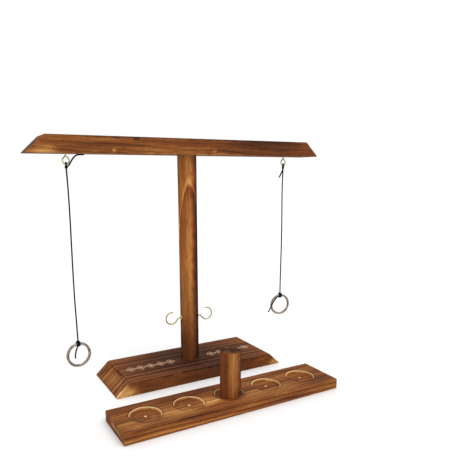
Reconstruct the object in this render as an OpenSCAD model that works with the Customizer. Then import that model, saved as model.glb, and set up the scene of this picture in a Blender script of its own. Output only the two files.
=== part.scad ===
// Tabletop ring toss set in scorched wood. A stand carries a crossbar on a round post, two rings
// hang from it on cords, and each ring is swung onto a hook in the side of the post. A separate
// ladder board with five round recesses holds a round marker peg. Millimetres, +Z up.
// Origin: the middle of the base's underside, straight below the post. +X runs along the
// crossbar, and -Y faces the ladder board.

/* [Base] */
// Length of the base along its underside
base_l = 275; // [230:1:330]
// Depth of the base, front to back
base_w = 100; // [70:1:130]
// Thickness of the base
base_h = 20; // [16:0.5:26]
// Run of the sloping cut at each end of the base
base_bevel = 20; // [8:1:30]

/* [Post] */
// Diameter of the dowel that the post and the marker peg are cut from
post_d = 28; // [23:0.5:35]
// Length of the post, from the base to the crossbar
post_l = 310; // [290:1:390]

/* [Crossbar] */
// Length of the crossbar along its underside
bar_l = 450; // [400:1:560]
// Depth of the crossbar, front to back
bar_w = 45; // [34:1:60]
// Thickness of the crossbar
bar_h = 22; // [18:0.5:30]
// Run of the sloping cut at each end of the crossbar
bar_bevel = 22; // [8:1:30]

/* [Ladder board] */
// Length of the ladder board
board_l = 320; // [290:1:400]
// Depth of the ladder board, front to back
board_w = 70; // [58:1:90]
// Thickness of the ladder board
board_h = 15; // [11:0.5:20]
// Clear space between the base and the ladder board
board_gap = 52; // [20:1:90]
// How far the ladder board's middle lies to the right of the post
board_shift = -10; // [-30:1:30]
// Diameter of a round recess
recess_d = 40; // [36:0.5:48]
// Depth of a recess
recess_deep = 3; // [2:0.25:5]
// Distance between the middles of two recesses
recess_pitch = 60; // [50:1:66]

/* [Marker peg] */
// Height of the marker peg
marker_l = 64; // [40:1:90]
// How far the peg stands to the right of its recess's middle
marker_shift = 2; // [-3:0.5:3]

/* [Screw eyes] */
// Distance of each screw eye from the middle of the crossbar
eye_x = 174; // [145:1:190]
// Wire thickness of a screw eye
eye_wire = 1.8; // [1.5:0.1:2.2]
// Outer width of the eye
eye_d = 10.4; // [9.6:0.1:13]
// Depth of the eye's middle below the crossbar
eye_drop = 9; // [8:0.25:11]
// Length of the threaded shank in the wood
eye_bite = 12; // [8:1:15]

/* [Side hooks] */
// Height of the hooks' shanks above the top of the base
hook_rise = 67; // [50:1:85]
// Wire thickness of a hook
hook_wire = 2.2; // [1.8:0.1:2.6]
// Radius of the round mouth, to the middle of the wire
hook_r = 9.3; // [8.5:0.1:12]
// Straight stretch of the shank outside the flange
hook_neck = 1.6; // [1:0.1:4]
// Length of the threaded shank in the post
hook_bite = 8; // [6:0.5:9]
// Diameter of the round flange
flange_d = 7.5; // [6:0.1:9]
// Thickness of the flange
flange_t = 1.6; // [1:0.1:2.5]

/* [Rings] */
// Outer diameter of a ring
ring_d = 36; // [30:0.5:42]
// Wire thickness of a ring
ring_wire = 4; // [2.8:0.1:4.6]
// Turn of the left ring about its cord
left_turn = 8; // [-45:1:45]
// Turn of the right ring about its cord
right_turn = -8; // [-45:1:45]

/* [Cords] */
// Thickness of the cord
cord_d = 1.8; // [1.5:0.1:2]
// Thickness of the knot below a screw eye
knot_d = 4.2; // [3.6:0.1:4.6]
// Height of the knot below a screw eye
knot_l = 5; // [4:0.1:6]

/* [Screws] */
// Shank and thread diameter of the wood screws
screw_d = 4.5; // [3.5:0.1:5]
// Head diameter of the wood screws
screw_head_d = 8.6; // [7.5:0.1:9.5]
// Length of each of the two screws in the base
base_screw_l = 50; // [40:1:60]
// Length of the screw in the crossbar
bar_screw_l = 60; // [45:1:70]
// Distance between the two screws in the base
base_screw_gap = 14; // [12:0.5:15]

/* [Fits] */
// Gap around a thread in its hole
thread_fit = 0.05; // [0.02:0.01:0.2]
// Gap around a screw's shank where it passes through a plank
shank_fit = 0.3; // [0.1:0.05:0.5]
// Depth of a screw's head below the wood
head_sink = 0.6; // [0.2:0.1:1.5]
// Gap between a cord's loop and the wire inside it
loop_fit = 0.35; // [0.3:0.05:0.6]
// Gap between a knot and the end of the moving cord
bend_fit = 1.2; // [1.1:0.1:2]

/* [Hidden] */
$fn = 64;

// Flat sanded along the planks' edges
arris = 0.8;
// Tip left square at the thin end of a sloping cut
toe = 1;
// Slope around a recess's rim and around the ends of the marker peg
rim_slope = 0.6;
// Point left by the drill in the middle of each recess
mark_d = 3;
mark_deep = 1;
// Number of recesses, with the middle one under the peg
recess_n = 5;
// Thread pitch and depth of the wood screws
screw_pitch = 2;
screw_thread = 0.6;
screw_tip = 6;
// Cross slot in a screw's head
slot_l = 5;
slot_w = 1;
slot_deep = 2;
// Thread pitch and depth of the eyes and hooks
wire_pitch = 1.2;
wire_thread = 0.3;
wire_tip = 2.5;
// Stop short of a bend in a wire, and swell of the wire at the bend
bend_gap = 0.1;
bend_swell = 0.1;
// How far the pointed top of an eye stands above its round part
eye_point = 1.9;
// Bend that takes a hook's shank down to its mouth
hook_bend_r = 3.5;
hook_bend = 50;
hook_run = 4.8;
hook_sweep = 240;
// Extra depth of a hole past the tip that it holds
hole_spare = 1;
// How far a cut runs past the face that it opens
past = 1;

under_z = base_h + post_l;
bar_top_z = under_z + bar_h;
board_y = -(base_w / 2 + board_gap + board_w / 2);
recess_z = board_h - recess_deep;
hook_z = base_h + hook_rise;
eye_z = under_z - eye_drop;
eye_r = (eye_d - eye_wire) / 2;
eye_peak = eye_r + eye_point;
eye_low_z = eye_z - eye_r;
// Loop of cord around the bottom of an eye, and the knot below it
eye_loop_r = eye_wire / 2 + loop_fit + cord_d / 2;
knot_z = eye_low_z - eye_loop_r - knot_l / 2 + cord_d / 2;
// Point that the cord swings about, just below its knot
swing_z = knot_z - knot_l / 2 - bend_fit;
// Turns of cord around the top of a ring, side by side, and the small knot on them
ring_r = (ring_d - ring_wire) / 2;
ring_loop_r = ring_wire / 2 + loop_fit + cord_d / 2;
ring_knot_d = 3;
ring_knot_l = 3;
// Distance between two turns of cord on a ring
ring_turn = 1.6;
spin_fit = 0.4;

// Middle lines of the cords: [right, back, up] from the point that each starts at.
// The hanging stretches start at the swing point and end just above the ring's knot.
left_route = [
    [0, 0, 0], [0.4, 0, -20], [0.6, 0.2, -50], [0.2, 0.4, -90],
    [-0.4, 0.2, -135], [-0.6, 0, -175], [-0.2, 0, -208], [0, 0, -231]
];
right_route = [
    [0, 0, 0], [-0.5, 0, -18], [-0.6, -0.2, -45], [0, -0.3, -80],
    [0.5, 0, -120], [0.4, 0.2, -155], [0, 0, -180], [0, 0, -204]
];
// The short ends start at the middle of their own knot
left_top_route = [
    [1, -1.6, 0.4], [3.4, -3.4, 3.2], [6.4, -3.4, 8], [10, -2.6, 12.4], [14.4, -1.6, 15.2],
    [19, -1, 15.8], [24, -0.6, 15.8]
];
right_top_route = [[-0.4, -1.4, -0.6], [-3, -2.9, -4.4], [-6.2, -3, -10], [-9.6, -2.9, -16]];
left_ring_route = [
    [-0.4, -3.4, -4.4], [-2.2, -4.4, -8.5], [-4.4, -4.4, -14.5], [-5.6, -4, -20], [-5.8, -4, -25.5]
];
right_ring_route = [
    [-0.6, -3.4, -4.4], [-5.6, -4.4, -5.6], [-11, -4.2, -9], [-16.4, -3.8, -15.5],
    [-20.6, -3.4, -22.5], [-26, -3, -32]
];

left_end = left_route[len(left_route) - 1];
right_end = right_route[len(right_route) - 1];
left_swing = [-eye_x, 0, swing_z];
right_swing = [eye_x, 0, swing_z];

// ---- Helpers ----

// Straight round bar from one point to another
module rod(from, to, d) {
    v = to - from;
    translate(from)
        rotate([0, acos(v[2] / norm(v)), atan2(v[1], v[0])])
            cylinder(d = d, h = norm(v));
}

// Plank along X with its underside on z = 0 and both ends cut to a slope
module plank(l, w, h, bevel) {
    end = [
        [l / 2, 0], [l / 2, toe],
        [l / 2 - bevel * (1 - arris / h), h - arris], [l / 2 - bevel - arris, h]
    ];
    outline = concat(end, [for (i = [len(end) - 1 : -1 : 0]) [-end[i][0], end[i][1]]]);
    intersection() {
        rotate([90, 0, 0])
            linear_extrude(height = w, center = true)
                polygon(outline);
        rotate([90, 0, 90])
            linear_extrude(height = l, center = true)
                eased_rectangle(w, h);
    }
}

// Rectangle standing on y = 0 with its four corners cut by the arris
module eased_rectangle(w, h) {
    half = w / 2;
    polygon([
        [-half + arris, 0], [half - arris, 0], [half, arris], [half, h - arris],
        [half - arris, h], [-half + arris, h], [-half, h - arris], [-half, arris]
    ]);
}

// Outline of a thread from z = from up to z = to: ridges on a core
function thread_outline(from, to, r, depth, pitch) = [
    for (z = [from : pitch : to - pitch], p = [[r - depth, 0], [r, pitch / 2]]) [p[0], z + p[1]]
];

// Wood screw standing on its tip at z = 0, with its head at the top
module wood_screw(l) {
    r = screw_d / 2;
    head_h = (screw_head_d - screw_d) / 2;
    thread_top = l * 0.6;
    difference() {
        rotate_extrude()
            polygon(concat(
                [[0, 0]],
                thread_outline(screw_tip, thread_top, r, screw_thread, screw_pitch),
                [[r, thread_top], [r, l - head_h], [screw_head_d / 2, l], [0, l]]
            ));
        for (a = [0, 90])
            rotate([0, 0, a])
                translate([-slot_l / 2, -slot_w / 2, l - slot_deep])
                    cube([slot_l, slot_w, slot_deep + past]);
    }
}

// Hole for a wood screw's thread, from z = 0 up
module pilot_hole(l) {
    translate([0, 0, -past])
        cylinder(d = screw_d + 2 * thread_fit, h = l + past + hole_spare);
}

// Hole through a plank for a screw whose head lies at the plank's far face, z = h
module screw_way(h) {
    d = screw_d + 2 * shank_fit;
    head_r = screw_head_d / 2 + shank_fit;
    translate([0, 0, -past])
        cylinder(d = d, h = h + 2 * past);
    translate([0, 0, h - head_sink - (head_r - d / 2)])
        cylinder(r1 = d / 2, r2 = head_r, h = head_r - d / 2);
    translate([0, 0, h - head_sink])
        cylinder(r = head_r, h = head_sink + past);
}

// Threaded wire shank that points up, with its tip at z = l. The lead is the outline of the
// part outside the wood, from the axis out to the wood's face at z = 0
module wire_shank(d, l, lead) {
    rotate_extrude()
        polygon(concat(
            lead,
            thread_outline(0, l - wire_tip, d / 2, wire_thread, wire_pitch),
            [[d / 2 - wire_thread, l - wire_tip], [0, l]]
        ));
}

// Straight run of wire that stops short of both its ends, where a bend takes over
module wire_run(from, to, d) {
    v = unit(to - from) * bend_gap;
    rod(from + v, to - v, d);
}

// Arc of wire in the XZ plane around the origin, from one angle on through a sweep,
// that stops short of both its ends
module wire_arc(r, d, start, sweep) {
    short = bend_gap / r * 180 / PI;
    rotate([90, 0, 0])
        rotate([0, 0, start + short])
            rotate_extrude(angle = sweep - 2 * short)
                translate([r, 0])
                    circle(d = d);
}

// Where two stretches of a wire meet: a hair thicker than the wire, like a bend's mark
module wire_bend(at, d) {
    translate(at)
        sphere(d = d + bend_swell);
}

// Point on a smooth curve through a route, where t counts the route's points
function route_point(route, t) =
    let (
        last = len(route) - 1,
        i = min(floor(t), last - 1),
        f = t - i,
        a = route[max(i - 1, 0)],
        b = route[i],
        c = route[i + 1],
        d = route[min(i + 2, last)]
    )
    0.5 * (2 * b + (c - a) * f + (2 * a - 5 * b + 4 * c - d) * f * f
        + (3 * b - a - 3 * c + d) * f * f * f);

function unit(v) = v / norm(v);

// Cord swept along a route, with a ring of points at each step
module cord(route, steps) {
    sides = 8;
    last = len(route) - 1;
    count = last * steps;
    stops = [for (i = [0 : count]) route_point(route, i / steps)];
    rings = [
        for (i = [0 : count])
            let (
                along = unit(stops[min(i + 1, count)] - stops[max(i - 1, 0)]),
                side = unit(cross(along, [0, 1, 0])),
                up = cross(side, along)
            )
            for (k = [0 : sides - 1])
                let (a = 360 * k / sides)
                stops[i] + cord_d / 2 * (cos(a) * side + sin(a) * up)
    ];
    walls = [
        for (i = [0 : count - 1], k = [0 : sides - 1])
            let (
                n = (k + 1) % sides,
                a = i * sides + k,
                b = i * sides + n,
                c = a + sides,
                d = b + sides
            )
            each [[a, b, c], [b, d, c]]
    ];
    first_cap = [for (k = [1 : sides - 2]) [0, k + 1, k]];
    end = count * sides;
    last_cap = [for (k = [1 : sides - 2]) [end, end + k, end + k + 1]];
    color("#1c1b1d")
        polyhedron(points = rings, faces = concat(walls, first_cap, last_cap));
}

// Loop of cord around a wire that runs along X through the origin
module cord_loop(r) {
    rotate([0, 90, 0])
        rotate_extrude()
            translate([r, 0])
                circle(d = cord_d);
}

// Upright knot with round ends, centred on the origin
module knot(d, l) {
    reach = (l - d) / 2;
    for (s = [-1, 1])
        translate([0, 0, s * reach])
            sphere(d = d);
    cylinder(d = d, h = 2 * reach, center = true);
}

// Marks the left side (-1) or the right side (+1)
module on_side(side) {
    mirror([side < 0 ? 1 : 0, 0, 0])
        children();
}

// ---- Stand ----

module base() {
    color("#6a4427")
        difference() {
            plank(base_l, base_w, base_h, base_bevel);
            for (s = [-1, 1])
                translate([s * base_screw_gap / 2, 0, base_h])
                    rotate([180, 0, 0])
                        screw_way(base_h);
        }
}

module post() {
    color("#7d4c28")
        difference() {
            translate([0, 0, base_h])
                cylinder(d = post_d, h = post_l);
            for (s = [-1, 1])
                translate([s * base_screw_gap / 2, 0, base_h])
                    pilot_hole(base_screw_l + head_sink - base_h);
            translate([0, 0, under_z])
                rotate([180, 0, 0])
                    pilot_hole(bar_screw_l + head_sink - bar_h);
            for (s = [-1, 1])
                translate([s * (post_d / 2 + past), 0, hook_z])
                    rotate([0, -90 * s, 0])
                        cylinder(d = hook_wire + 2 * thread_fit, h = hook_bite + past + thread_fit);
        }
}

module crossbar() {
    color("#7a4a28")
        difference() {
            translate([0, 0, under_z])
                plank(bar_l, bar_w, bar_h, bar_bevel);
            translate([0, 0, under_z])
                screw_way(bar_h);
            for (s = [-1, 1])
                translate([s * eye_x, 0, under_z - past])
                    cylinder(d = eye_wire + 2 * thread_fit, h = eye_bite + past + hole_spare);
        }
}

module base_screws() {
    color("#c9b27c")
        for (s = [-1, 1])
            translate([s * base_screw_gap / 2, 0, head_sink + base_screw_l])
                rotate([180, 0, 0])
                    wood_screw(base_screw_l);
}

module crossbar_screw() {
    color("#c9b27c")
        translate([0, 0, bar_top_z - head_sink - bar_screw_l])
            wood_screw(bar_screw_l);
}

// Eye of bent wire: a round bottom, two straight runs to a point, and a threaded shank
module screw_eye() {
    open = acos(eye_r / eye_peak);
    tangent = [eye_r * sin(open), 0, eye_r * cos(open)];
    neck_r = eye_wire / 2 + bend_swell;
    neck = eye_drop - eye_peak + bend_gap * 6;
    color("#c0a25c") {
        wire_arc(eye_r, eye_wire, 90 + open, 360 - 2 * open);
        for (s = [-1, 1]) {
            wire_bend([s * tangent[0], 0, tangent[2]], eye_wire);
            wire_run([s * tangent[0], 0, tangent[2]], [0, 0, eye_peak], eye_wire);
        }
        translate([0, 0, eye_drop])
            wire_shank(eye_wire, eye_bite, [[0, -neck], [neck_r, -neck], [neck_r, 0]]);
    }
}

// Hook on the +X side of the post: flange, shank, bend, straight run and round mouth
module side_hook() {
    face = post_d / 2;
    r = hook_wire / 2;
    lead = flange_t + hook_neck;
    neck = [face + lead, 0, hook_z];
    turn = neck - [0, 0, hook_bend_r];
    bend_end = turn + hook_bend_r * [sin(hook_bend), 0, cos(hook_bend)];
    run_end = bend_end + hook_run * [cos(hook_bend), 0, -sin(hook_bend)];
    mouth = run_end + hook_r * [sin(hook_bend), 0, cos(hook_bend)];
    start = 270 - hook_bend;
    tip = start + hook_sweep;
    color("#c0a25c") {
        translate([face, 0, hook_z])
            rotate([0, -90, 0])
                wire_shank(hook_wire, hook_bite, [
                    [0, bend_gap - lead], [r, bend_gap - lead], [r, -flange_t],
                    [r + 1, -flange_t], [flange_d / 2, -flange_t / 3], [flange_d / 2, 0]
                ]);
        wire_bend(neck, hook_wire);
        translate(turn)
            wire_arc(hook_bend_r, hook_wire, 90 - hook_bend, hook_bend);
        wire_bend(bend_end, hook_wire);
        wire_run(bend_end, run_end, hook_wire);
        wire_bend(run_end, hook_wire);
        translate(mouth)
            wire_arc(hook_r, hook_wire, start, hook_sweep);
        wire_bend(mouth + hook_r * [cos(tip), 0, sin(tip)], hook_wire);
    }
}

// ---- Cords and rings ----

// Loop around an eye's bottom with its knot, for the eye at x
module top_knot(x) {
    color("#1c1b1d")
        translate([x, 0, 0]) {
            translate([0, 0, eye_low_z])
                cord_loop(eye_loop_r);
            translate([0, 0, knot_z])
                knot(knot_d, knot_l);
        }
}

// Height of the ring's knot, of the ring's top wire and of the ring's middle
// above the end of its cord
function ring_knot_rise() = -(spin_fit + ring_knot_l / 2);
function ring_top_rise() = -(spin_fit + ring_knot_l - cord_d / 2 + ring_loop_r);
function ring_rise() = ring_top_rise() - ring_r;

// Three turns of cord around a ring's top wire with the knot above them
module ring_knot(at, turn) {
    color("#1c1b1d")
        translate(at)
            rotate([0, 0, turn]) {
                for (s = [-1 : 1])
                    translate([s * ring_turn, 0, ring_top_rise()])
                        cord_loop(ring_loop_r);
                translate([0, 0, ring_knot_rise()])
                    knot(ring_knot_d, ring_knot_l);
            }
}

module ring(at, turn) {
    color("#a59b92")
        translate(at + [0, 0, ring_rise()])
            rotate([90, 0, turn])
                rotate_extrude()
                    translate([ring_r, 0])
                        circle(d = ring_wire);
}

// ---- Ladder board and marker ----

module ladder_board() {
    color("#7d4f2b")
        translate([board_shift, board_y, 0])
            difference() {
                plank(board_l, board_w, board_h, 0);
                for (i = [0 : recess_n - 1])
                    translate([(i - (recess_n - 1) / 2) * recess_pitch, 0, recess_z])
                        recess();
            }
}

// Round flat-bottomed recess with a sloping rim and the drill's point in its floor
module recess() {
    cylinder(d = recess_d, h = recess_deep + past);
    translate([0, 0, recess_deep - rim_slope])
        cylinder(d1 = recess_d, d2 = recess_d + 2 * rim_slope, h = rim_slope);
    translate([0, 0, -mark_deep])
        cylinder(d1 = 0, d2 = mark_d, h = mark_deep);
}

module marker_peg() {
    r = post_d / 2;
    color("#7d4c28")
        translate([board_shift + marker_shift, board_y, recess_z])
            rotate_extrude()
                polygon([
                    [0, 0], [r - rim_slope, 0], [r, rim_slope],
                    [r, marker_l - rim_slope], [r - rim_slope, marker_l], [0, marker_l]
                ]);
}

// ---- Sub-parts ----

base();
post();
crossbar();
ladder_board();
marker_peg();
base_screws();
crossbar_screw();
translate([-eye_x, 0, eye_z]) screw_eye();  // left_screw_eye
translate([eye_x, 0, eye_z]) screw_eye();  // right_screw_eye
on_side(-1) side_hook();  // left_hook
on_side(1) side_hook();  // right_hook
top_knot(-eye_x);  // left_top_knot
translate([-eye_x, 0, knot_z]) cord(left_top_route, 2);  // left_top_tail
translate(left_swing) cord(left_route, 4);  // left_cord
ring_knot(left_swing + left_end, left_turn);  // left_ring_knot
translate(left_swing + left_end) cord(left_ring_route, 2);  // left_ring_tail
ring(left_swing + left_end, left_turn);  // left_ring
top_knot(eye_x);  // right_top_knot
translate([eye_x, 0, knot_z]) cord(right_top_route, 2);  // right_top_tail
translate(right_swing) cord(right_route, 4);  // right_cord
ring_knot(right_swing + right_end, right_turn);  // right_ring_knot
translate(right_swing + right_end) cord(right_ring_route, 2);  // right_ring_tail
ring(right_swing + right_end, right_turn);  // right_ring
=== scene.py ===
import math

import bpy
from mathutils import Matrix, Vector


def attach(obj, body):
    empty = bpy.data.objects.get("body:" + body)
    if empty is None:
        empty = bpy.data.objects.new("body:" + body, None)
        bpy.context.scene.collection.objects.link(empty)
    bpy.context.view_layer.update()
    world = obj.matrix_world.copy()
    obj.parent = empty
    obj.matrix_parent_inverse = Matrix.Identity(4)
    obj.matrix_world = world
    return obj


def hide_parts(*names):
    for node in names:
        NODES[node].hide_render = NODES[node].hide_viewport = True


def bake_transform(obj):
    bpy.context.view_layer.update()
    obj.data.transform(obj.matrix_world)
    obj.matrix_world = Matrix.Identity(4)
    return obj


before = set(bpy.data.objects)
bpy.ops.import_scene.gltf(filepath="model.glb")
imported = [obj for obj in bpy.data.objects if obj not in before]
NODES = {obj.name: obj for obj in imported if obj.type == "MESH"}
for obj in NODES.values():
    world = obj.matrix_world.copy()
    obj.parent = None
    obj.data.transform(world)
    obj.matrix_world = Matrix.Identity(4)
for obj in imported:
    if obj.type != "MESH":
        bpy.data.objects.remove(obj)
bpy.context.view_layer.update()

# The look of a tabletop ring toss set. Metres, +Z up, the crossbar along X. Sizes in millimetres
# are turned to metres by MM.
MM = 0.001

# The same places and sizes as in the part's source
EYE_X = 174  # each screw eye from the middle of the crossbar
EYE_LOW_Z = 316.7  # the wire at the bottom of an eye
EYE_LOOP_R = 2.15  # the cord's loop round that wire
KNOT_Z = 312.95  # the middle of the knot below it
SWING_Z = 309.25  # where the hanging cord bends
RING_LOOP_R = 3.25  # a turn of cord round a ring's wire
RING_TURN = 1.6  # from one turn to the next
RING_TOP_DROP = 5.75  # from the hanging cord's end down to the top of the ring's wire
# The braid: its thickness with the loose fibres round it, the step from one crossing to the
# next, and the strands that run each way round
DRAWN_D = 2.05
CROSSING = 1.6
STRANDS_EACH_WAY = 4
# Share of the thickness at the last four steps of an end that is melted round
ROUND_TIP = (0.35, 0.72, 0.9, 0.98)
# The ladder board's recesses, the base's height, and the middles of the board and the peg
RECESS_D = 40
RECESS_PITCH = 60
BASE_H = 20
BOARD = Vector((-10, -137, 0))
PEG = Vector((-8, -137, 12))
# The cords' routes, each from the knot or bend that it starts at, as in the part's source
LEFT_ROUTE = [
    (0, 0, 0), (0.4, 0, -20), (0.6, 0.2, -50), (0.2, 0.4, -90),
    (-0.4, 0.2, -135), (-0.6, 0, -175), (-0.2, 0, -208), (0, 0, -231),
]
RIGHT_ROUTE = [
    (0, 0, 0), (-0.5, 0, -18), (-0.6, -0.2, -45), (0, -0.3, -80),
    (0.5, 0, -120), (0.4, 0.2, -155), (0, 0, -180), (0, 0, -204),
]
LEFT_TOP_ROUTE = [
    (1, -1.6, 0.4), (3.4, -3.4, 3.2), (6.4, -3.4, 8), (10, -2.6, 12.4), (14.4, -1.6, 15.2),
    (19, -1, 15.8), (24, -0.6, 15.8),
]
RIGHT_TOP_ROUTE = [(-0.4, -1.4, -0.6), (-3, -2.9, -4.4), (-6.2, -3, -10), (-9.6, -2.9, -16)]
LEFT_RING_ROUTE = [
    (-0.4, -3.4, -4.4), (-2.2, -4.4, -8.5), (-4.4, -4.4, -14.5), (-5.6, -4, -20),
    (-5.8, -4, -25.5),
]
RIGHT_RING_ROUTE = [
    (-0.6, -3.4, -4.4), (-5.6, -4.4, -5.6), (-11, -4.2, -9), (-16.4, -3.8, -15.5),
    (-20.6, -3.4, -22.5), (-26, -3, -32),
]


def linear(colour):
    """A hex colour as it is seen, turned to the light values that a shader uses."""
    parts = [int(colour[i:i + 2], 16) / 255 for i in (1, 3, 5)]
    return tuple(p / 12.92 if p < 0.04045 else ((p + 0.055) / 1.055) ** 2.4 for p in parts) + (1,)


def add(tree, kind, inputs=None, **settings):
    """Adds a node with its settings, sets or links its inputs, and gives back its outputs."""
    made = tree.nodes.new(kind)
    for name, value in settings.items():
        setattr(made, name, value)
    for name, value in (inputs or {}).items():
        if isinstance(value, bpy.types.NodeSocket):
            tree.links.new(value, made.inputs[name])
        else:
            made.inputs[name].default_value = value
    return made.outputs


def fill_ramp(output, stops):
    """Sets the stops of a colour ramp, each a place and a hex colour or a grey from 0 to 1."""
    ramp = output[0].node.color_ramp
    while len(ramp.elements) > 1:
        ramp.elements.remove(ramp.elements[0])
    for i, (place, colour) in enumerate(stops):
        element = ramp.elements[0] if i == 0 else ramp.elements.new(place)
        element.position = place
        element.color = linear(colour) if isinstance(colour, str) else (colour,) * 3 + (1,)
    return output[0]


# ---- Camera, light and floor ----

def make_camera():
    """Stands in front and to the left, a little lower than the crossbar, and looks slightly
    down."""
    yaw, pitch, roll = (math.radians(a) for a in (29.13, 12.51, -0.32))
    forward = Vector((
        math.sin(yaw) * math.cos(pitch), math.cos(yaw) * math.cos(pitch), -math.sin(pitch)
    ))
    level = Vector((math.cos(yaw), -math.sin(yaw), 0))
    upright = level.cross(forward)
    right = level * math.cos(roll) + upright * math.sin(roll)
    up = upright * math.cos(roll) - level * math.sin(roll)
    data = bpy.data.cameras.new("camera")
    data.lens = 38.06
    data.sensor_width = 36
    data.shift_x = 0.0466
    data.shift_y = 0.1068
    data.clip_start, data.clip_end = 0.01, 100
    camera = bpy.data.objects.new("camera", data)
    camera.matrix_world = (
        Matrix.Translation((-0.3305, -0.6696, 0.3019))
        @ Matrix((right, up, -forward)).transposed().to_4x4()
    )
    bpy.context.scene.collection.objects.link(camera)
    bpy.context.scene.camera = camera


def make_light():
    """A white studio, a touch darker behind the viewer, with one broad soft key light from high
    on the front right."""
    scene = bpy.context.scene
    scene.view_settings.view_transform = "Standard"
    world = bpy.data.worlds.new("studio")
    world.use_nodes = True
    tree = world.node_tree
    tree.nodes.clear()
    way = add(tree, "ShaderNodeTexCoord")["Generated"]
    front = add(
        tree, "ShaderNodeVectorMath", {0: way, 1: (-0.44, -0.82, 0.1)}, operation="DOT_PRODUCT"
    )["Value"]
    shade = fill_ramp(
        add(tree, "ShaderNodeValToRGB", {0: front}), [(0.0, 1.0), (0.5, 0.97)]
    )
    sky = add(tree, "ShaderNodeBackground", {"Color": shade, "Strength": 1.0})[0]
    add(tree, "ShaderNodeOutputWorld", {"Surface": sky})
    scene.world = world

    sun = bpy.data.lights.new("key", "SUN")
    sun.energy = 0.84
    sun.angle = math.radians(40)
    key = bpy.data.objects.new("key", sun)
    key.rotation_euler = Vector((0.22, -0.5, 0.85)).to_track_quat("Z", "Y").to_euler()
    scene.collection.objects.link(key)


def make_floor():
    """A sheet of white paper, 40 m each way, a tenth of a millimetre below the feet."""
    mesh = bpy.data.meshes.new("floor")
    reach = 40
    mesh.from_pydata(
        [(-reach, -reach, 0), (reach, -reach, 0), (reach, reach, 0), (-reach, reach, 0)],
        [], [(0, 1, 2, 3)],
    )
    mesh.transform(Matrix.Translation((0, 0, -0.0001)))
    floor = bpy.data.objects.new("floor", mesh)
    bpy.context.scene.collection.objects.link(floor)
    # Seamless studio paper: plain white and quite matt
    paper = bpy.data.materials.new("studio_paper")
    paper.use_nodes = True
    shader = paper.node_tree.nodes["Principled BSDF"]
    shader.inputs["Base Color"].default_value = (0.93, 0.93, 0.93, 1)
    shader.inputs["Roughness"].default_value = 0.9
    shader.inputs["Specular IOR Level"].default_value = 0.1
    mesh.materials.append(paper)


# ---- Materials ----

# Charred black, through the browns of the stain, to the pale wood that the flame missed
SCORCHED = [
    (0.0, "#180d07"), (0.18, "#361e10"), (0.36, "#583016"), (0.5, "#74411c"), (0.64, "#905a2a"),
    (0.8, "#b37f42"), (0.92, "#d0a264"), (1.0, "#e8c690"),
]


def new_material(name):
    """An empty material and the tree that its nodes go into."""
    material = bpy.data.materials.new(name)
    material.use_nodes = True
    material.node_tree.nodes.clear()
    return material, material.node_tree


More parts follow.
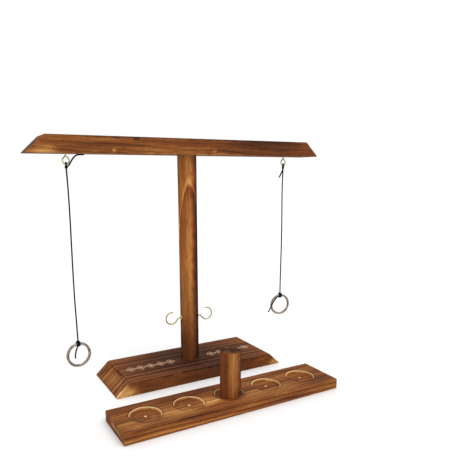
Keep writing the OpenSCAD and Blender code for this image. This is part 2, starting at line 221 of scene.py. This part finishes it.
def scorched_wood(
    name, along, pith, ring, taper=0.0, warp=6.0, rings=0.2, bands=0.4, burn=0.6, fibres=0.3,
    streak=(160, 30), tone=0.0, red=0.3, year_shade=None, patches=(), extra=None, stamp=None, seed=0
):
    """Softwood that was planed, torched, brushed and stained brown. The flame leaves charred
    streaks along the grain and tan wood between them, and brushing leaves the hard late wood
    of each year's ring standing a little proud. The rings are cut through a solid, so flat
    faces show flames, and cut ends show arcs."""
    material, tree = new_material(name)
    place = add(tree, "ShaderNodeTexCoord")["Object"]
    mm = add(
        tree, "ShaderNodeVectorMath", {0: place, "Scale": 1000.0}, operation="SCALE"
    )["Vector"]
    x, y, z = add(tree, "ShaderNodeSeparateXYZ", {0: mm})
    run, side, rise = (x, y, z) if along == "X" else (z, x, y)
    grain = add(tree, "ShaderNodeCombineXYZ", {0: run, 1: side, 2: rise})[0]

    def stretched(length, width, shift):
        return add(tree, "ShaderNodeMapping", {
            "Vector": grain, "Location": shift, "Scale": (1 / length, 1 / width, 1 / width)
        })[0]

    # Growth rings: distance from the pith, bent by slow waves of 90 mm along the grain
    wave = add(tree, "ShaderNodeTexNoise", {
        "Vector": stretched(90, 24, (seed, seed, 0)), "Scale": 1.0, "Detail": 2.0
    })[0]
    reach = add(tree, "ShaderNodeMapping", {
        "Vector": grain, "Location": (0, -pith[0], -pith[1]), "Scale": (0, 1, 1)
    })[0]
    radius = add(tree, "ShaderNodeVectorMath", {0: reach}, operation="LENGTH")["Value"]
    leaned = add(
        tree, "ShaderNodeMath", {0: run, 1: taper, 2: radius}, operation="MULTIPLY_ADD"
    )[0]
    bent = add(
        tree, "ShaderNodeMath", {0: wave, 1: warp, 2: leaned}, operation="MULTIPLY_ADD"
    )[0]
    count = add(tree, "ShaderNodeMath", {0: bent, 1: warp / 2}, operation="SUBTRACT")[0]
    count = add(tree, "ShaderNodeMath", {0: count, 1: ring}, operation="DIVIDE")[0]
    year = add(tree, "ShaderNodeMath", {0: count}, operation="FRACT")[0]
    late = fill_ramp(add(tree, "ShaderNodeValToRGB", {0: year}), year_shade or [
        (0.0, 0.85), (0.35, 0.7), (0.62, 0.5), (0.82, 0.1), (0.94, 0.2), (1.0, 0.85)
    ])
    # Good and poor years: irregular bands of darker and paler rings
    band = add(tree, "ShaderNodeTexNoise", {
        "W": count, "Scale": 1.1, "Detail": 4.0, "Roughness": 0.7
    }, noise_dimensions="1D")[0]
    scorch = add(tree, "ShaderNodeTexNoise", {
        "Vector": stretched(*streak, (seed * 3, 0, seed)), "Scale": 1.6, "Detail": 4.0,
        "Roughness": 0.6, "Distortion": 0.3,
    })[0]
    # Fibres: real ones are 0.05 mm wide, and are drawn as streaks of about 1 mm so that they show
    fibre = add(tree, "ShaderNodeTexNoise", {
        "Vector": stretched(42, 1.2, (0, seed, seed)), "Scale": 1.0, "Detail": 3.0,
        "Roughness": 0.65,
    })[0]
    # Dark pores and pitch specks, 1 mm wide and 4 mm long
    pores = add(tree, "ShaderNodeTexNoise", {
        "Vector": stretched(4, 1.3, (seed, 0, 0)), "Scale": 1.0, "Detail": 1.0
    })[0]
    light = add(tree, "ShaderNodeMapRange", {
        "Value": pores, "From Min": 0.65, "From Max": 0.76,
        "To Min": 0.49 + tone - (rings + bands + burn + fibres) / 2,
        "To Max": 0.29 + tone - (rings + bands + burn + fibres) / 2,
    })[0]
    for part, weight in ((late, rings), (band, bands), (scorch, burn), (fibre, fibres)):
        light = add(
            tree, "ShaderNodeMath", {0: part, 1: weight, 2: light}, operation="MULTIPLY_ADD"
        )[0]

    # Patches that the flame charred or left pale, and on some parts painted shade and painted
    # highlights: middle, reach and strength of each. A coarse noise moves their edges by up to
    # 4.5 mm either way, so that they are ragged
    ragged = add(tree, "ShaderNodeTexNoise", {"Vector": mm, "Scale": 0.08, "Detail": 3.0})[1]
    shifted = add(
        tree, "ShaderNodeVectorMath", {0: ragged, 1: (9, 9, 9), 2: mm}, operation="MULTIPLY_ADD"
    )["Vector"]
    for middle, size, strength in patches:
        near = add(tree, "ShaderNodeMapping", {
            "Vector": shifted,
            "Location": tuple(-(m + 4.5) / s for m, s in zip(middle, size)),
            "Scale": tuple(1 / s for s in size),
        })[0]
        away = add(tree, "ShaderNodeVectorMath", {0: near}, operation="LENGTH")["Value"]
        touch = add(tree, "ShaderNodeMapRange", {
            "Value": away, "From Min": 0.25, "From Max": 1.0, "To Min": strength, "To Max": 0.0
        }, interpolation_type="SMOOTHSTEP")[0]
        light = add(tree, "ShaderNodeMath", {0: light, 1: touch}, operation="ADD")[0]
    if extra:
        light = add(tree, "ShaderNodeMath", {0: light, 1: extra(tree, mm)}, operation="ADD")[0]

    colour = fill_ramp(add(tree, "ShaderNodeValToRGB", {0: light}), SCORCHED)
    # The stain took redder in some places than in others
    stain = add(tree, "ShaderNodeTexNoise", {
        "Vector": stretched(120, 40, (0, 0, seed * 2)), "Scale": 1.0, "Detail": 1.0
    })[0]
    colour = add(tree, "ShaderNodeMix", {
        0: add(tree, "ShaderNodeMapRange", {
            "Value": stain, "From Min": 0.35, "From Max": 0.65, "To Min": 0.0, "To Max": red
        })[0],
        6: colour, 7: (1.0, 0.66, 0.45, 1.0),
    }, data_type="RGBA", blend_type="MULTIPLY")[2]
    if stamp:
        colour = add(tree, "ShaderNodeMix", {
            0: stamp(tree, mm, fibre), 6: colour, 7: linear("#c9a888")
        }, data_type="RGBA")[2]
    gloss = add(tree, "ShaderNodeMapRange", {
        "Value": light, "From Min": 0.1, "From Max": 0.9, "To Min": 0.85, "To Max": 0.62
    })[0]
    # Relief: late wood stands proud and the fibres between are brushed out
    height = add(tree, "ShaderNodeMath", {0: late, 1: -0.5, 2: fibre}, operation="MULTIPLY_ADD")[0]
    relief = add(tree, "ShaderNodeBump", {
        "Height": height, "Strength": 0.45, "Distance": 0.0004
    })[0]
    shader = add(tree, "ShaderNodeBsdfPrincipled", {
        "Base Color": colour, "Roughness": gloss, "Normal": relief, "Specular IOR Level": 0.12
    })[0]
    add(tree, "ShaderNodeOutputMaterial", {"Surface": shader})
    return material


def recess_marks_and_shading(tree, mm):
    """Bored walls of pale wood with a painted highlight, palest near the rim, a thin charred line
    round it, a brown floor with painted shade next to the wall, and a pale drill point,
    repeated at each of the board's five recesses."""
    x, y, z = add(tree, "ShaderNodeSeparateXYZ", {0: mm})
    from_middle = add(tree, "ShaderNodeMath", {0: x, 1: -BOARD.x}, operation="ADD")[0]
    across = add(tree, "ShaderNodeMath", {
        0: from_middle, 1: -RECESS_PITCH / 2, 2: RECESS_PITCH / 2
    }, operation="WRAP")[0]
    deep = add(tree, "ShaderNodeMath", {0: y, 1: -BOARD.y}, operation="ADD")[0]
    flat = add(tree, "ShaderNodeCombineXYZ", {0: across, 1: deep})[0]
    away = add(tree, "ShaderNodeVectorMath", {0: flat}, operation="LENGTH")["Value"]
    share = add(tree, "ShaderNodeMath", {0: away, 1: RECESS_D}, operation="DIVIDE")[0]
    # Across the width: a pale drill point, the brown floor, painted shade on the floor next to the
    # wall (round 0.45), the wall of pale wood with a painted highlight (round 0.5), then a thin
    # charred line outside the rim
    marks_and_shading = fill_ramp(add(tree, "ShaderNodeValToRGB", {0: share}), [
        (0.0, 1.0), (0.04, 1.0), (0.054, 0.4), (0.3, 0.47), (0.45, 0.38), (0.475, 0.44),
        (0.492, 1.0), (0.513, 1.0), (0.521, 0.12), (0.534, 0.24), (0.56, 0.5),
    ])
    marks_and_shading = add(tree, "ShaderNodeMath", {0: marks_and_shading, 1: -0.5}, operation="ADD")[0]
    # Low on a recess's wall, round 12.7 mm up, the marks and the painted highlight fade, so that
    # the pale rim stays thin
    low_wall = add(tree, "ShaderNodeMath", {0: z, 1: -12.7}, operation="ADD")[0]
    low_wall = add(tree, "ShaderNodeMath", {0: low_wall}, operation="ABSOLUTE")[0]
    strength = add(tree, "ShaderNodeMapRange", {
        "Value": low_wall, "From Min": 0.6, "From Max": 1.2, "To Min": 0.5, "To Max": 1.5
    })[0]
    # The pattern would go on past the last recess to the board's ends, and below their floors
    from_centre = add(tree, "ShaderNodeMath", {0: from_middle}, operation="ABSOLUTE")[0]
    inside = add(tree, "ShaderNodeMath", {0: from_centre, 1: 148.0}, operation="LESS_THAN")[0]
    above = add(tree, "ShaderNodeMath", {0: z, 1: 10.5}, operation="GREATER_THAN")[0]
    for part in (marks_and_shading, strength, inside, above):
        total = part if part is marks_and_shading else add(
            tree, "ShaderNodeMath", {0: total, 1: part}, operation="MULTIPLY"
        )[0]
    return total


def diamond_border(tree, mm, fibre):
    """A worn stamped chain of five diamonds on each half of the base's top."""
    start, step, count, from_middle_line = 28.0, 16.0, 5, 3.0
    x, y, z = add(tree, "ShaderNodeSeparateXYZ", {0: mm})
    half = add(tree, "ShaderNodeMath", {0: x}, operation="ABSOLUTE")[0]
    from_end = add(tree, "ShaderNodeMath", {0: half, 1: -start}, operation="ADD")[0]
    in_step = add(tree, "ShaderNodeMath", {0: from_end, 1: 0.0, 2: step}, operation="WRAP")[0]
    across = add(tree, "ShaderNodeMath", {0: in_step, 1: -step / 2}, operation="ADD")[0]
    over = add(tree, "ShaderNodeMath", {0: across}, operation="ABSOLUTE")[0]
    off = add(tree, "ShaderNodeMath", {0: y, 1: from_middle_line}, operation="ADD")[0]
    up = add(tree, "ShaderNodeMath", {0: off}, operation="ABSOLUTE")[0]
    size = add(tree, "ShaderNodeMath", {0: over, 1: up}, operation="ADD")[0]
    outline = fill_ramp(
        add(tree, "ShaderNodeValToRGB", {
            0: add(tree, "ShaderNodeMath", {0: size, 1: 12.0}, operation="DIVIDE")[0]
        }),
        [(0.0, 1.0), (0.3, 1.0), (0.34, 0.0), (0.53, 0.0), (0.57, 1.0), (0.69, 1.0), (0.73, 0.0)],
    )
    within = add(tree, "ShaderNodeMath", {
        0: from_end, 1: count * step / 2, 2: count * step / 2
    }, operation="COMPARE")[0]
    top = add(tree, "ShaderNodeMath", {0: z, 1: BASE_H - 0.1}, operation="GREATER_THAN")[0]
    worn = add(tree, "ShaderNodeMapRange", {
        "Value": fibre, "From Min": 0.3, "From Max": 0.6, "To Min": 0.45, "To Max": 0.85
    })[0]
    shown = add(tree, "ShaderNodeMath", {0: outline, 1: within}, operation="MULTIPLY")[0]
    shown = add(tree, "ShaderNodeMath", {0: shown, 1: top}, operation="MULTIPLY")[0]
    return add(tree, "ShaderNodeMath", {0: shown, 1: worn}, operation="MULTIPLY")[0]


def plated_wire(name, colour, worn_colour, roughness):
    """Steel wire with a bright plate. The bare patches of handling are duller, and the drawn
    wire keeps faint lengthwise marks, drawn here as grain of 0.6 mm."""
    material, tree = new_material(name)
    place = add(tree, "ShaderNodeTexCoord")["Object"]
    cloud = add(tree, "ShaderNodeTexNoise", {"Vector": place, "Scale": 240.0, "Detail": 3.0})[0]
    grit = add(tree, "ShaderNodeTexNoise", {"Vector": place, "Scale": 1600.0, "Detail": 2.0})[0]
    tint = add(tree, "ShaderNodeMix", {
        0: add(tree, "ShaderNodeMapRange", {
            "Value": cloud, "From Min": 0.4, "From Max": 0.65
        })[0],
        6: linear(colour), 7: linear(worn_colour),
    }, data_type="RGBA")[2]
    dull = add(tree, "ShaderNodeMapRange", {
        "Value": cloud, "From Min": 0.35, "From Max": 0.7, "To Min": roughness,
        "To Max": roughness + 0.14,
    })[0]
    relief = add(tree, "ShaderNodeBump", {
        "Height": grit, "Strength": 0.15, "Distance": 0.00005
    })[0]
    shader = add(tree, "ShaderNodeBsdfPrincipled", {
        "Base Color": tint, "Metallic": 1.0, "Roughness": dull, "Normal": relief
    })[0]
    add(tree, "ShaderNodeOutputMaterial", {"Surface": shader})
    return material


def braided_cord():
    """Black polyester cord, braided from eight strands. Their crossings show as fine bumps, and
    their loose fibres give a faint grey sheen at the sides."""
    material, tree = new_material("black_braided_polyester")
    around = add(tree, "ShaderNodeUVMap")[0]
    u, v = add(tree, "ShaderNodeSeparateXYZ", {0: around})[:2]
    sign = []
    for way in (1, -1):
        turned = add(tree, "ShaderNodeMath", {
            0: v, 1: STRANDS_EACH_WAY * way, 2: u
        }, operation="MULTIPLY_ADD")[0]
        angle = add(tree, "ShaderNodeMath", {0: turned, 1: 2 * math.pi}, operation="MULTIPLY")[0]
        sign.append(add(tree, "ShaderNodeMath", {0: angle}, operation="SINE")[0])
    weave = add(tree, "ShaderNodeMath", {0: sign[0], 1: sign[1]}, operation="MULTIPLY")[0]
    colour = fill_ramp(add(tree, "ShaderNodeValToRGB", {
        0: add(tree, "ShaderNodeMapRange", {
            "Value": weave, "From Min": -1.0, "From Max": 1.0
        })[0]
    }), [(0.0, "#020202"), (0.5, "#080809"), (1.0, "#131316")])
    relief = add(tree, "ShaderNodeBump", {
        "Height": weave, "Strength": 0.4, "Distance": 0.0001
    })[0]
    shader = add(tree, "ShaderNodeBsdfPrincipled", {
        "Base Color": colour, "Roughness": 0.82, "Normal": relief, "Sheen Weight": 0.04,
        "Sheen Roughness": 0.5, "Specular IOR Level": 0.15,
    })[0]
    add(tree, "ShaderNodeOutputMaterial", {"Surface": shader})
    return material


# ---- Cord shapes ----

def curve_point(route, t):
    """Point on the smooth curve through a route, where t counts the route's points."""
    last = len(route) - 1
    i = min(int(t), last - 1)
    f = t - i
    a, b, c, d = (
        Vector(route[k]) for k in (max(i - 1, 0), i, i + 1, min(i + 2, last))
    )
    return 0.5 * (
        2 * b + (c - a) * f + (2 * a - 5 * b + 4 * c - d) * f * f + (3 * b - a - 3 * c + d) * f ** 3
    )


def even_points(route, step):
    """Points along the curve through a route, a step apart, in millimetres."""
    parts = 40
    fine = [curve_point(route, i / parts) for i in range(parts * (len(route) - 1) + 1)]
    lengths = [0.0]
    for a, b in zip(fine, fine[1:]):
        lengths.append(lengths[-1] + (b - a).length)
    count = max(2, round(lengths[-1] / step))
    points, k = [], 0
    for i in range(count + 1):
        want = lengths[-1] * i / count
        while k < len(fine) - 2 and lengths[k + 1] < want:
            k += 1
        share = (want - lengths[k]) / (lengths[k + 1] - lengths[k])
        points.append(fine[k].lerp(fine[k + 1], min(max(share, 0), 1)))
    return points


class CordMesh:
    """Tubes of braided cord gathered into one mesh, in millimetres, with a map whose first
    number counts the crossings along the cord and whose second runs once around it."""

    def __init__(self):
        self.points, self.faces, self.maps = [], [], []

    def tube(self, line, radius, across, closed=False, round_ends=(False, False), sides=14):
        first, count, travel = len(self.points), len(line), 0.0
        for i, point in enumerate(line):
            before = line[i - 1] if closed or i else point
            after = line[(i + 1) % count] if closed or i < count - 1 else point
            along = (after - before).normalized()
            side = along.cross(Vector(across)).normalized()
            out = side.cross(along)
            travel += (point - before).length if i else 0
            size = radius
            for end, index in ((0, i), (1, count - 1 - i)):
                if round_ends[end] and index < len(ROUND_TIP):
                    size = radius * ROUND_TIP[index]
            for k in range(sides):
                angle = 2 * math.pi * k / sides
                turn, step = STRANDS_EACH_WAY * angle, 2 * math.pi * travel / CROSSING
                # The strands stand 3.5% proud where they cross
                swell = 1 + 0.035 * math.sin(turn + step) * math.sin(turn - step)
                self.points.append(
                    point + size * swell * (math.cos(angle) * side + math.sin(angle) * out)
                )
                self.maps.append(travel / CROSSING)
        rows = count if closed else count - 1
        for i in range(rows):
            for k in range(sides):
                a = first + i * sides + k
                b = first + i * sides + (k + 1) % sides
                c = first + (i + 1) % count * sides + k
                d = first + (i + 1) % count * sides + (k + 1) % sides
                self.faces.append((a, c, d, b))
        if not closed:
            end = first + (count - 1) * sides
            self.faces.append(tuple(first + k for k in range(sides)))
            self.faces.append(tuple(end + k for k in reversed(range(sides))))
        self.sides = sides

    def coil(self, centre, radius, thick, low, high, turns, start=0.0):
        """Turns of cord wound upward round an upright line, in 20 steps each."""
        count = round(turns * 20)
        line = []
        for i in range(count + 1):
            angle = start + 2 * math.pi * turns * i / count
            line.append(Vector(centre) + Vector((
                radius * math.cos(angle), radius * math.sin(angle), low + (high - low) * i / count
            )))
        self.tube(line, thick, (0, 0, 1))

    def ring_around(self, centre, axis, radius, thick):
        """One closed turn of cord round an axis."""
        count = 36
        axis = Vector(axis).normalized()
        side = axis.cross(Vector((0, 0, 1))).normalized()
        up = side.cross(axis)
        line = [
            Vector(centre) + radius * (
                math.cos(2 * math.pi * i / count) * side + math.sin(2 * math.pi * i / count) * up
            )
            for i in range(count)
        ]
        self.tube(line, thick, axis, closed=True)

    def finish(self, name, material, body, *replaced):
        mesh = bpy.data.meshes.new(name)
        mesh.from_pydata([p * MM for p in self.points], [], self.faces)
        layer = mesh.uv_layers.new(name="cord")
        for polygon in mesh.polygons:
            polygon.use_smooth = True
            ks = [mesh.loops[i].vertex_index for i in polygon.loop_indices]
            for loop, vertex in zip(polygon.loop_indices, ks):
                k = vertex % self.sides
                if k == 0 and any(other % self.sides == self.sides - 1 for other in ks):
                    k = self.sides
                layer.data[loop].uv = (self.maps[vertex], k / self.sides)
        mesh.materials.append(material)
        piece = bpy.data.objects.new(name, mesh)
        bpy.context.scene.collection.objects.link(piece)
        if body:
            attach(piece, body)
        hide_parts(*replaced)
        return piece


def top_knot(side, x, black):
    """The loop of cord round the eye's bottom wire, closed by a wound knot below it."""
    mesh = CordMesh()
    # Radius of the cord where it is pulled tight: in the loop, round the knot and inside it
    loop, wound, core = 0.88, 0.86, 0.9
    mesh.ring_around((x, 0, EYE_LOW_Z), (1, 0, 0), EYE_LOOP_R, loop)
    mesh.coil((x, 0, KNOT_Z), 1.2, wound, -1.5, 1.3, 2.6, start=0.6)
    mesh.tube([Vector((x, 0, KNOT_Z + h)) for h in (2.2, 1, 0, -1, -2.2)], core, (0, 1, 0))
    return mesh.finish(side + "_upper_knot", black, side + "_tie", side + "_top_knot")


def ring_knot(side, at, turn, black):
    """Three turns round the ring's wire, a strand across their front, and a knot on top."""
    mesh = CordMesh()
    # Radius of the cord where it is pulled tight: on the wire, over the front, and in the knot
    turned, front_strand, wound, core = 0.86, 0.8, 0.78, 0.85
    # The front strand climbs this many degrees each way, this far along, and stands this proud
    climb, aside, proud = 62, 1.7, 0.95
    angle = math.radians(turn)
    along = Vector((math.cos(angle), math.sin(angle), 0))
    front = Vector((math.sin(angle), -math.cos(angle), 0))
    wire = at - Vector((0, 0, RING_TOP_DROP))
    for step in (-1, 0, 1):
        mesh.ring_around(wire + along * step * RING_TURN, along, RING_LOOP_R, turned)
    crossing, last = [], 12
    for i in range(last + 1):
        share = i / last * 2 - 1
        lift = math.radians(share * climb)
        crossing.append(
            wire + along * share * aside
            + (RING_LOOP_R + proud) * (math.cos(lift) * front + math.sin(lift) * Vector((0, 0, 1)))
        )
    mesh.tube(crossing, front_strand, along, round_ends=(True, True))
    mesh.coil(at - Vector((0, 0, 1.9)), 0.72, wound, -0.65, 0.7, 1.7)
    mesh.tube([at + Vector((0, 0, h)) for h in (-0.5, -1.2, -2, -2.8)], core, (0, 1, 0))
    return mesh.finish(side + "_lower_knot", black, side + "_drop", side + "_ring_knot")


def short_end(name, route, at, black, body, replaced):
    """A cord's short end, cut and melted to a round tip."""
    mesh = CordMesh()
    line = [at + p for p in even_points(route, 0.35)]
    mesh.tube(line, DRAWN_D / 2, (0, 1, 0), round_ends=(False, True))
    return mesh.finish(name, black, body, replaced)


def hanging_cord(side, x, route, black):
    """The stretch that hangs from the upper knot to the ring. It bends just below the knot, and
    runs 2.6 mm up into that knot and 1.2 mm down into the ring's."""
    at = Vector((x, 0, SWING_Z))
    whole = [(0, 0, 2.6)] + route + [tuple(Vector(route[-1]) + Vector((0, 0, -1.2)))]
    line = [at + p for p in even_points(whole, 0.4)]
    mesh = CordMesh()
    mesh.tube(line, DRAWN_D / 2, (0, 1, 0))
    piece = mesh.finish(side + "_hanging_cord", black, None, side + "_cord")
    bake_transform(piece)


def make_cords(black):
    left, right = Vector((-EYE_X, 0, 0)), Vector((EYE_X, 0, 0))
    knot, swing = Vector((0, 0, KNOT_Z)), Vector((0, 0, SWING_Z))
    for side, at, route, top_route, ring_route, turn in (
        ("left", left, LEFT_ROUTE, LEFT_TOP_ROUTE, LEFT_RING_ROUTE, 8),
        ("right", right, RIGHT_ROUTE, RIGHT_TOP_ROUTE, RIGHT_RING_ROUTE, -8),
    ):
        end = at + swing + Vector(route[-1])
        pieces = [
            top_knot(side, at.x, black),
            short_end(
                side + "_upper_end", top_route, at + knot, black, side + "_tie", side + "_top_tail"
            ),
            ring_knot(side, end, turn, black),
            short_end(
                side + "_lower_end", ring_route, end, black, side + "_drop", side + "_ring_tail"
            ),
        ]
        hanging_cord(side, at.x, route, black)


# ---- The set's pieces ----

def dress(name, material):
    """Puts a material on a part that keeps its own shape."""
    NODES[name].material_slots[0].material = material


def soften(name, width):
    """Rounds a wooden part's sanded edges a little more."""
    part = NODES[name]
    weld = part.modifiers.new("weld", "WELD")
    weld.merge_threshold = 0.00001
    bevel = part.modifiers.new("sanding", "BEVEL")
    bevel.width = width * MM
    bevel.segments = 2
    bevel.limit_method = "ANGLE"
    bevel.angle_limit = math.radians(28)
    bevel.harden_normals = False
    normals = part.modifiers.new("shading", "WEIGHTED_NORMAL")
    normals.keep_sharp = False


def make_crossbar():
    """Scorched pine, its front face flat-sawn, with small pale and dark knots."""
    dress("crossbar", scorched_wood(
        "scorched_pine_crossbar", "X", pith=(140, 250), ring=5, taper=0.02, warp=5,
        rings=0.1, bands=0.3, burn=0.68, fibres=0.42, streak=(260, 22), tone=0.01, red=0.12,
        seed=4.0, patches=[
            # The second patch on the next line is painted shade over the left end
            ((-205, -22, 333), (24, 14, 7), 0.24), ((-218, 4, 340), (14, 40, 24), -0.16),
            ((-115.4, -22.5, 333.9), (4.8, 6, 4.2), 0.27), ((34, -22.5, 335), (6, 6, 4), 0.18),
            ((-150, -22, 342), (100, 24, 18), -0.07), ((-85, -22.5, 350), (6, 6, 3), -0.22),
            ((-20, -22.5, 337), (80, 12, 7), 0.14),
            ((130, -22, 346), (110, 20, 12), -0.15), ((0, -22.5, 352), (240, 3, 3), -0.22),
            # A painted highlight along the front face's bottom edge
            ((0, -22.5, 330), (240, 2, 2), 0.2),
        ],
    ))
    soften("crossbar", 0.5)


def make_post():
    """A scorched dowel. Its rings are cut to one pointed arch high on the front, with a pale
    edge and a dark band under it."""
    dress("post", scorched_wood(
        "scorched_dowel_post", "Z", pith=(14.7, 62.6), ring=40, taper=-0.13, warp=3,
        rings=0.42, bands=0.12, burn=0.5, fibres=0.42, tone=0.1, red=0.4, seed=7.3,
        year_shade=[
            (0.0, 1.0), (0.012, 0.95), (0.026, 0.2), (0.09, 0.44), (0.26, 0.62), (0.984, 0.64),
            (1.0, 0.95),
        ],
        patches=[
            # Painted shade down the right and the left sides
            ((12.6, -6.2, 170), (18.5, 18.5, 420), -0.5), ((-13, 5, 170), (10, 10, 420), -0.3),
            ((-13.4, 1.5, 215), (4, 4, 130), 0.4), ((0, 0, 26), (34, 34, 84), -0.26),
            # A painted highlight down the front
            ((-5, -12, 316), (9, 9, 34), 0.08), ((-4, -13, 190), (7, 7, 150), 0.12),
        ],
    ))
    soften("post", 0.3)


def make_base():
    """Quarter-sawn scorched pine: straight dark lines on top, striped cut ends, a pale corner."""
    dress("base", scorched_wood(
        "scorched_pine_base", "X", pith=(-230, 8), ring=6.5, taper=0.003, warp=2.6,
        rings=0.3, bands=1.1, burn=0.35, fibres=0.3, streak=(200, 18), tone=0.0, red=0.3,
        seed=2.1, stamp=diamond_border, patches=[
            ((-130, -52, 5), (34, 12, 18), 0.42), ((-130, 0, 8), (16, 74, 18), 0.08),
            ((130, -48, 4), (18, 14, 10), 0.28), ((0, 0, 20), (150, 80, 5), -0.3),
            ((-128, 36, 8), (14, 14, 14), -0.12), ((30, -51, 8), (110, 8, 18), -0.14),
            ((0, -50, 20), (130, 2.5, 2.5), -0.2), ((0, 50, 20), (130, 2.5, 2.5), -0.2),
            ((-120, 0, 20), (3, 60, 3), -0.3),
        ],
    ))
    soften("base", 0.5)


def make_ladder_board():
    """Rift-sawn scorched pine, tan round the recesses where the flame passed lightly."""
    dress("ladder_board", scorched_wood(
        "scorched_pine_ladder_board", "X", pith=(-70, -60), ring=3.4, taper=0.01, warp=4,
        rings=0.24, bands=0.6, burn=0.7, fibres=0.28, streak=(170, 26), tone=0.03, red=0.3,
        seed=5.6, extra=recess_marks_and_shading, patches=[
            ((-88, -150, 15), (56, 15, 8), 0.24), ((-42, -143, 15), (30, 18, 8), 0.24),
            ((30, -150, 15), (110, 14, 8), 0.09), ((-150, -156, 15), (30, 16, 6), 0.14),
            ((-66, -112, 15), (60, 12, 6), -0.16), ((60, -112, 15), (90, 12, 6), -0.08),
            ((-170, -137, 3), (3, 40, 8), -0.2), ((-170, -140, 7), (9, 24, 4.5), 0.34),
            ((130, -164, 12), (60, 20, 9), -0.12), ((0, -172, 15), (170, 2, 2), -0.1),
        ],
    ))
    soften("ladder_board", 0.4)


def make_marker_peg():
    """A length of the same dowel with a charred top."""
    dress("marker_peg", scorched_wood(
        "scorched_dowel_peg", "Z", pith=(-60, -90), ring=7, taper=0.01, warp=5,
        rings=0.1, bands=0.18, burn=0.4, fibres=0.42, tone=0.0, red=0.4, seed=9.2, patches=[
            # A painted highlight down the front
            ((PEG.x - 3.5, PEG.y - 13.5, 50), (10, 10, 60), 0.18),
            ((PEG.x, PEG.y, 78), (22, 22, 4), -0.5),
            # Painted shade down the left and the right sides
            ((PEG.x - 12, PEG.y + 7, 44), (9, 9, 90), -0.2),
            ((PEG.x + 12, PEG.y - 7, 44), (10, 10, 90), -0.36),
        ],
    ))
    soften("marker_peg", 0.3)


def make_hardware():
    brass = plated_wire("brass_plated_steel_wire", "#d0c290", "#a3935c", 0.22)
    nickel = plated_wire("nickel_plated_steel_wire", "#aaa096", "#75685c", 0.2)
    zinc = plated_wire("yellow_zinc_screw", "#cdb16a", "#9c8350", 0.34)
    for name in ("left_screw_eye", "right_screw_eye", "left_hook", "right_hook"):
        dress(name, brass)
    for name in ("left_ring", "right_ring"):
        dress(name, nickel)
    for name in ("base_screws", "crossbar_screw"):
        dress(name, zinc)


make_camera()
make_cords(braided_cord())
make_light()
make_floor()
make_crossbar()
make_post()
make_base()
make_ladder_board()
make_marker_peg()
make_hardware()
